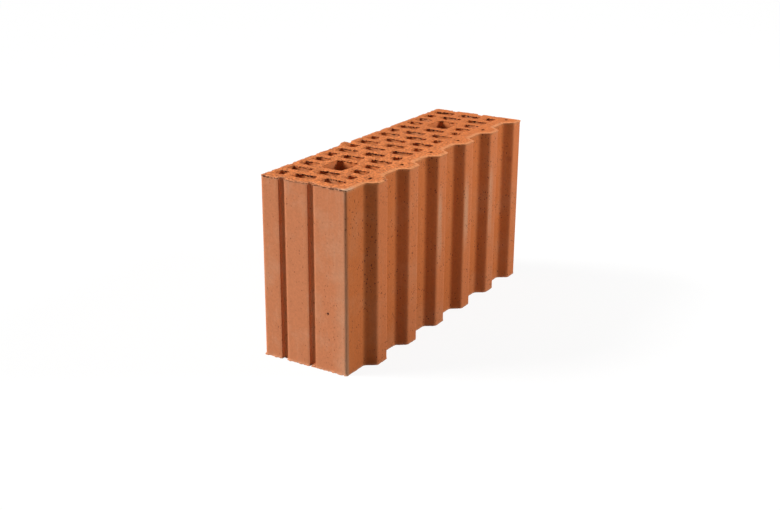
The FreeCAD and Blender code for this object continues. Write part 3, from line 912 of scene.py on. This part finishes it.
def fired_clay(colours):
    """Brick clay, drawn through a die, cut by a wire and fired."""
    material = bpy.data.materials.new("fired_clay_extruded_wire_cut")
    material.use_nodes = True
    tree = material.node_tree
    tree.nodes.clear()
    at = clay_facts(tree)

    # To the eye: matt and porous, salmon to orange-brown, smooth and faintly streaked where the die
    # drew it, brighter and crumbly where the wire cut it, with dark pinholes and pale dried salts.
    # Over the skin of the ends and plain side, each coat covers a share of those before it.
    pores = pore_share(tree, at)
    edges = add(tree, "ShaderNodeMath", at.arris, 0.25, operation="MULTIPLY")
    # Several coats are painted light and shade: shade down the holes, in the gaps between the bed's crumbs,
    # under the burrs and in the pit of the near end, warm bounce light in the grooves, and pale bounce
    # light towards the foot of the near corner.
    coats = (
        (at.ribbed, colours.land, "MIX"),
        (at.on_tip, colours.tip, "MIX"),
        (groove_painted_bounce(tree, at), colours.rubbed_and_painted_bounce, "MIX"),
        (at.hollow, hole_colour_with_painted_shade(tree, at, colours), "MIX"),
        (scum_share(tree, at), colours.bloom_and_painted_bounce, "MIX"),
        (salt_share(tree, at), colours.bloom_and_painted_bounce, "MIX"),
        (at.cut, bed_colour(tree, at, colours), "MIX"),
        (edges, colours.bloom_and_painted_bounce, "MIX"),
        (lip_share(tree, at), colours.rubbed_and_painted_bounce, "MIX"),
        (pale_corner_share(tree, at), colours.bloom_and_painted_bounce, "MIX"),
        (1.0, grain_shade(tree, at), "MULTIPLY"),
        (gap_specks_and_painted_shade(tree, at), colours.pore_and_painted_shade, "MIX"),
        (pores, colours.pore_and_painted_shade, "MIX"),
        (corner_tint_and_painted_bounce(tree, at), colours.bloom_and_painted_bounce, "MIX"),
        (painted_burr_shadow_share(tree, at), colours.painted_burr_shadow, "MIX"),
    )
    colour = (*colours.skin, 1)
    for share, coat, blend in coats:
        worked_out = isinstance(coat, (bpy.types.Node, bpy.types.NodeSocket))
        over = coat if worked_out else (*coat, 1)
        mixed = add(tree, "ShaderNodeMix", share, inputs={6: colour, 7: over},
                    data_type="RGBA", blend_type=blend)
        colour = mixed.outputs[2]

    # Bump: crumbs on the beds, fine grit and upright lines on the skin, sunk pores
    crumb_height = add(tree, "ShaderNodeMath", at.crumbs, at.crumbly, operation="MULTIPLY")
    grit = add(tree, "ShaderNodeMath", at.grain, 0.25, crumb_height, operation="MULTIPLY_ADD")
    lined = add(tree, "ShaderNodeMath", at.streaks, 0.2, grit, operation="MULTIPLY_ADD")
    height = add(tree, "ShaderNodeMath", pores, -0.8, lined, operation="MULTIPLY_ADD")
    bump = add(tree, "ShaderNodeBump", inputs={"Strength": 0.6, "Distance": 0.8 * MM, "Height": height})
    shader = add(tree, "ShaderNodeBsdfPrincipled", inputs={
        "Base Color": colour, "Roughness": 0.9, "Specular IOR Level": 0.25, "Normal": bump})
    add(tree, "ShaderNodeOutputMaterial", shader)
    return material


def plain_mesh(source, name):
    """Plain closed mesh of what a geometry tree makes of the source object."""
    graph = bpy.context.evaluated_depsgraph_get()
    mesh = bpy.data.meshes.new_from_object(source.evaluated_get(graph), depsgraph=graph)
    mesh.name = name

    # The foot's fill leaves a small fold open at one corner of the block, and this closes it
    shell = bmesh.new()
    shell.from_mesh(mesh)
    gaps = [edge for edge in shell.edges if edge.is_boundary]
    bmesh.ops.holes_fill(shell, edges=gaps)
    bmesh.ops.recalc_face_normals(shell, faces=shell.faces)
    shell.to_mesh(mesh)
    shell.free()
    return mesh


class CLAY_OT_fired_block(bpy.types.Operator):
    """Builds the block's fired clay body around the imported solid"""

    bl_idname = "clay.fired_block"
    bl_label = "Fired block"

    def execute(self, context):
        marks = context.scene.clay_marks
        clay = fired_clay(context.scene.clay_colours)
        block = bpy.data.objects.new("fired_block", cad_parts[NODE].data.copy())
        context.scene.collection.objects.link(block)

        # The tree's inputs: the block's size, the marks and the clay
        tree = block_tree()
        values = dict(zip(BLOCK_SIZES, BLOCK_HIGH - BLOCK_LOW))
        for label in (*MARK_SIZES, *MARK_COUNTS):
            values[label] = getattr(marks, label.lower().replace(" ", "_"))
        values["Clay"] = clay
        modifier = block.modifiers.new("wire_cut_block", "NODES")
        modifier.node_group = tree
        for item in tree.interface.items_tree:
            if item.in_out == "INPUT" and item.name in values:
                modifier[item.identifier] = values[item.name]
        context.view_layer.update()

        # Its result, as a plain mesh
        mesh = plain_mesh(block, "fired_block")
        block.modifiers.remove(modifier)
        block.data = mesh
        mesh.materials.clear()
        mesh.materials.append(clay)
        mesh.shade_smooth()
        mesh.set_sharp_from_angle(angle=SHARP_ANGLE)
        if len(mesh.polygons) < LEAST_FACES:
            raise RuntimeError("the geometry tree made no block")
        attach(block, "root")
        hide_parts(NODE)
        return {"FINISHED"}


class CLAY_OT_studio_stage(bpy.types.Operator):
    """Makes the floor, the lamps, the surroundings and the camera"""

    bl_idname = "clay.studio_stage"
    bl_label = "Studio stage"

    def execute(self, context):
        scene = context.scene
        scene.view_settings.view_transform = "Standard"
        self.floor(scene)
        self.surroundings(scene)
        self.lamps(scene)
        self.camera(scene)
        return {"FINISHED"}

    def floor(self, scene):
        """Pale floor, white to the eye, with part of the shadow kept."""
        half = scene.clay_stage.floor_size / 2
        corners = [(-half, -half, 0), (half, -half, 0), (half, half, 0), (-half, half, 0)]
        mesh = bpy.data.meshes.new("studio_floor")
        mesh.from_pydata(corners, [], [(0, 1, 2, 3)])
        floor = bpy.data.objects.new("studio_floor", mesh)
        scene.collection.objects.link(floor)
        mesh.materials.append(self.floor_paint(scene.clay_stage))

    def floor_paint(self, stage):
        """Matt white paint: even and pale."""
        material = bpy.data.materials.new("matt_white_floor_paint")
        material.use_nodes = True
        tree = material.node_tree
        tree.nodes.clear()
        seen = self.seen(tree)
        colour = add(tree, "ShaderNodeMix", seen, data_type="RGBA",
                     inputs={6: (*stage.floor_colour, 1), 7: (*stage.floor_shown, 1)})
        paint = add(tree, "ShaderNodeBsdfDiffuse", colour.outputs[2])
        white = add(tree, "ShaderNodeEmission", (1, 1, 1, 1), 1.0)
        share = add(tree, "ShaderNodeMath", seen, FLOOR_GLOW, operation="MULTIPLY")
        shown = add(tree, "ShaderNodeMixShader", share, paint, white)
        add(tree, "ShaderNodeOutputMaterial", shown)
        return material

    def seen(self, tree):
        """1 for what the eye sees, straight, in gloss or through glass."""
        path = add(tree, "ShaderNodeLightPath").outputs
        gloss = add(tree, "ShaderNodeMath", path["Is Camera Ray"], path["Is Glossy Ray"])
        return add(tree, "ShaderNodeMath", gloss, path["Is Transmission Ray"], use_clamp=True)

    def surroundings(self, scene):
        """Even grey light from all round, white to the eye."""
        world = bpy.data.worlds.new("studio_surroundings")
        world.use_nodes = True
        tree = world.node_tree
        tree.nodes.clear()
        light = add(tree, "ShaderNodeBackground", (1, 1, 1, 1), scene.clay_stage.sky_level)
        white = add(tree, "ShaderNodeBackground", (1, 1, 1, 1), 1.0)
        shown = add(tree, "ShaderNodeMixShader", self.seen(tree), light, white)
        add(tree, "ShaderNodeOutputWorld", shown)
        scene.world = world

    def lamps(self, scene):
        """A soft box at the rear right, and broad suns whose light is even over the whole floor."""
        stage = scene.clay_stage

        # The soft box stands beside the far end, so the far flanks get more of it than the near ones
        box = bpy.data.lights.new("rear_right", "AREA")
        box.energy = stage.rear_level * math.pi ** 2 * REAR_AWAY ** 2
        box.shape = "DISK"
        box.size = REAR_SIZE
        holder = bpy.data.objects.new("rear_right", box)
        holder.location = Vector((RECESS_X, 0, BLOCK_HIGH.z / 2)) + REAR_AWAY * REAR_WAY
        holder.rotation_euler = REAR_WAY.to_track_quat("Z", "Y").to_euler()
        scene.collection.objects.link(holder)

        suns = (
            ("key_front_left", KEY_WAY, KEY_SPREAD, stage.key_level),
            ("overhead", TOP_WAY, TOP_SPREAD, stage.top_level),
        )
        for name, way, spread, level in suns:
            lamp = bpy.data.lights.new(name, "SUN")
            lamp.energy = level * math.pi
            lamp.angle = spread
            holder = bpy.data.objects.new(name, lamp)
            holder.rotation_euler = Vector(way).to_track_quat("Z", "Y").to_euler()
            scene.collection.objects.link(holder)

    def camera(self, scene):
        """Camera at the photograph's viewing angle."""
        lens = bpy.data.cameras.new("camera")
        lens.sensor_width = 36
        lens.lens = scene.clay_stage.lens
        lens.clip_end = 100
        camera = bpy.data.objects.new("camera", lens)
        turn = Matrix.Rotation(CAMERA_TURN, 4, "Z")
        tilt = Matrix.Rotation(CAMERA_TILT, 4, "X")
        roll = Matrix.Rotation(CAMERA_ROLL, 4, "Z")
        camera.matrix_world = Matrix.Translation(CAMERA_PLACE) @ turn @ tilt @ roll
        scene.collection.objects.link(camera)
        scene.camera = camera


class CLAY_PT_block(bpy.types.Panel):
    """Lists the block's operators and settings"""

    bl_idname = "CLAY_PT_block"
    bl_label = "Clay block"
    bl_space_type = "VIEW_3D"
    bl_region_type = "UI"
    bl_category = "Clay block"

    def draw(self, context):
        layout = self.layout
        for operator in OPERATORS:
            layout.operator(operator.bl_idname)
        for group in SETTINGS:
            box = layout.box()
            for name in SETTINGS[group].__annotations__:
                box.prop(getattr(context.scene, group), name)


OPERATORS = (CLAY_OT_fired_block, CLAY_OT_studio_stage)
SETTINGS = {"clay_marks": ClayMarks, "clay_colours": ClayColours, "clay_stage": StudioStage}


def register():
    for kind in (*SETTINGS.values(), *OPERATORS, CLAY_PT_block):
        bpy.utils.register_class(kind)
    for name, kind in SETTINGS.items():
        setattr(bpy.types.Scene, name, bpy.props.PointerProperty(type=kind))


def unregister():
    for name in SETTINGS:
        delattr(bpy.types.Scene, name)
    for kind in (CLAY_PT_block, *OPERATORS, *SETTINGS.values()):
        bpy.utils.unregister_class(kind)


def main():
    register()
    bpy.ops.clay.fired_block()
    bpy.ops.clay.studio_stage()


if __name__ == "__main__":
    main()
